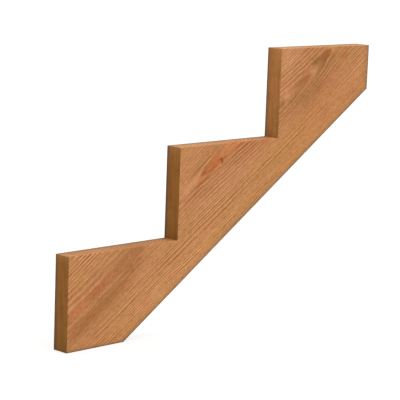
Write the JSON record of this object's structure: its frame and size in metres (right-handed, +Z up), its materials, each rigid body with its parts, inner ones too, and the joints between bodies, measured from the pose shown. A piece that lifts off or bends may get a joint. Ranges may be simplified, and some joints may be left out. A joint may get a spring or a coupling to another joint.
{
  "type": "stair stringer",
  "caption": "Notched wooden stair stringer: a planed softwood board sawn to a saw-tooth of level tread seats and plumb riser seats, with a level foot cut and a plumb head cut.",
  "frame": {"origin": "middle of the toe line, where the face of the first riser meets the floor", "axes": "+X along the run, from the first riser towards the head; +Y across the board's thickness, away from the face that the picture shows; +Z up"},
  "size_m": [0.8382, 0.0382, 0.5525],
  "materials": {
    "softwood": "planed, matt, warm red-brown"
  },
  "bodies": {
    "root": {"stringer": "softwood"}
  },
  "joints": []
}
